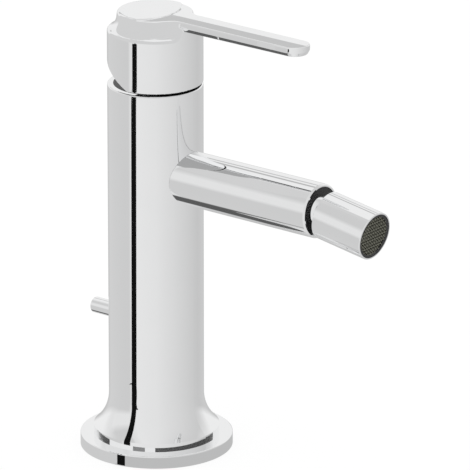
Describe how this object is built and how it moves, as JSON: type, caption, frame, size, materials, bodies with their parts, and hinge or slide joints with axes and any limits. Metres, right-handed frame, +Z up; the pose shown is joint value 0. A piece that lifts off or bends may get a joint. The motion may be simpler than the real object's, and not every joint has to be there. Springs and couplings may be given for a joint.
{
  "type": "bidet mixer",
  "caption": "Deck-mounted single-lever bidet mixer: upright round body on a flanged foot, straight spout with a swivelling aerator nozzle and a rear pop-up waste control.",
  "frame": {"origin": "centre of the deck opening on the underside of the base flange, which stands on the deck", "axes": "+X along the spout and the lever, +Z up along the body's axis, +Y to the left of the spout"},
  "size_m": [0.157, 0.0674, 0.2002],
  "materials": {
    "chrome": "polished chrome plate on brass",
    "brass": "machined brass",
    "copper": "drawn copper",
    "steel": "turned stainless steel",
    "screen": "woven steel mesh, dull",
    "rubber": "black sealing rubber",
    "white_plastic": "moulded white plastic",
    "grey_plastic": "moulded grey plastic",
    "black_plastic": "moulded black plastic",
    "slip_plastic": "white slip plastic",
    "ceramic": "lapped white ceramic",
    "plug": "grey plastic plug"
  },
  "bodies": {
    "base": {"base_flange": "chrome", "base_gasket": "rubber", "mixer_body": "chrome", "inlet_block": "brass", "block_circlip": "steel", "hot_tube": "copper", "cold_tube": "copper", "tube_seals": "rubber", "spout_tube": "chrome", "ball_seal": "slip_plastic", "socket_nut": "black_plastic", "cartridge_base": "white_plastic", "port_seals": "rubber", "cartridge_housing": "white_plastic", "fixed_disc": "ceramic", "retaining_nut": "brass", "glide_ring": "black_plastic", "pivot_bracket": "brass", "pivot_pin": "steel"},
    "turner": {"cartridge_rotor": "grey_plastic", "stem_pin": "steel"},
    "lever": {"handle": "chrome", "stem": "steel", "handle_screw": "steel", "screw_plug": "plug"},
    "mixing_disc": {"moving_disc": "ceramic", "disc_carrier": "grey_plastic"},
    "swivel": {"swivel_ring": "slip_plastic"},
    "outlet": {"nozzle": "chrome", "aerator_seal": "rubber", "flow_regulator": "white_plastic", "aerator_housing": "black_plastic", "aerator_screen": "screen"},
    "popup": {"popup_lever": "chrome"},
    "popup_rod": {"lift_rod": "brass"}
  },
  "joints": [
    {"name": "handle_turn", "type": "hinge", "parent": "base", "child": "turner", "pos_m": [0, 0, 0.16295], "axis": [0, 0, 1], "range_deg": [-45, 45]},
    {"name": "handle_lift", "type": "hinge", "parent": "turner", "child": "lever", "pos_m": [0, 0, 0.16295], "axis": [0, -1, 0], "range_deg": [0, 25]},
    {"name": "disc_slide", "type": "slide", "parent": "turner", "child": "mixing_disc", "axis": [1, 0, 0], "range_m": [0, 0.0029]},
    {"name": "nozzle_swivel", "type": "hinge", "parent": "base", "child": "swivel", "pos_m": [0.0878, 0, 0.1274], "axis": [1, 0, 0], "continuous": true},
    {"name": "nozzle_tilt", "type": "hinge", "parent": "swivel", "child": "outlet", "pos_m": [0.0878, 0, 0.1274], "axis": [0, 1, 0], "range_deg": [-22, 4]},
    {"name": "popup_swing", "type": "hinge", "parent": "base", "child": "popup", "pos_m": [-0.0147, 0, 0.0569], "axis": [0, 1, 0], "range_deg": [-12, 12]},
    {"name": "rod_lift", "type": "slide", "parent": "base", "child": "popup_rod", "axis": [0, 0, 1], "range_m": [-0.0025, 0.0025]}
  ],
  "couplings": [
    {"joint": "disc_slide", "follows": "handle_lift", "m_per_rad": 0.0065},
    {"joint": "rod_lift", "follows": "popup_swing", "m_per_rad": -0.0117}
  ]
}
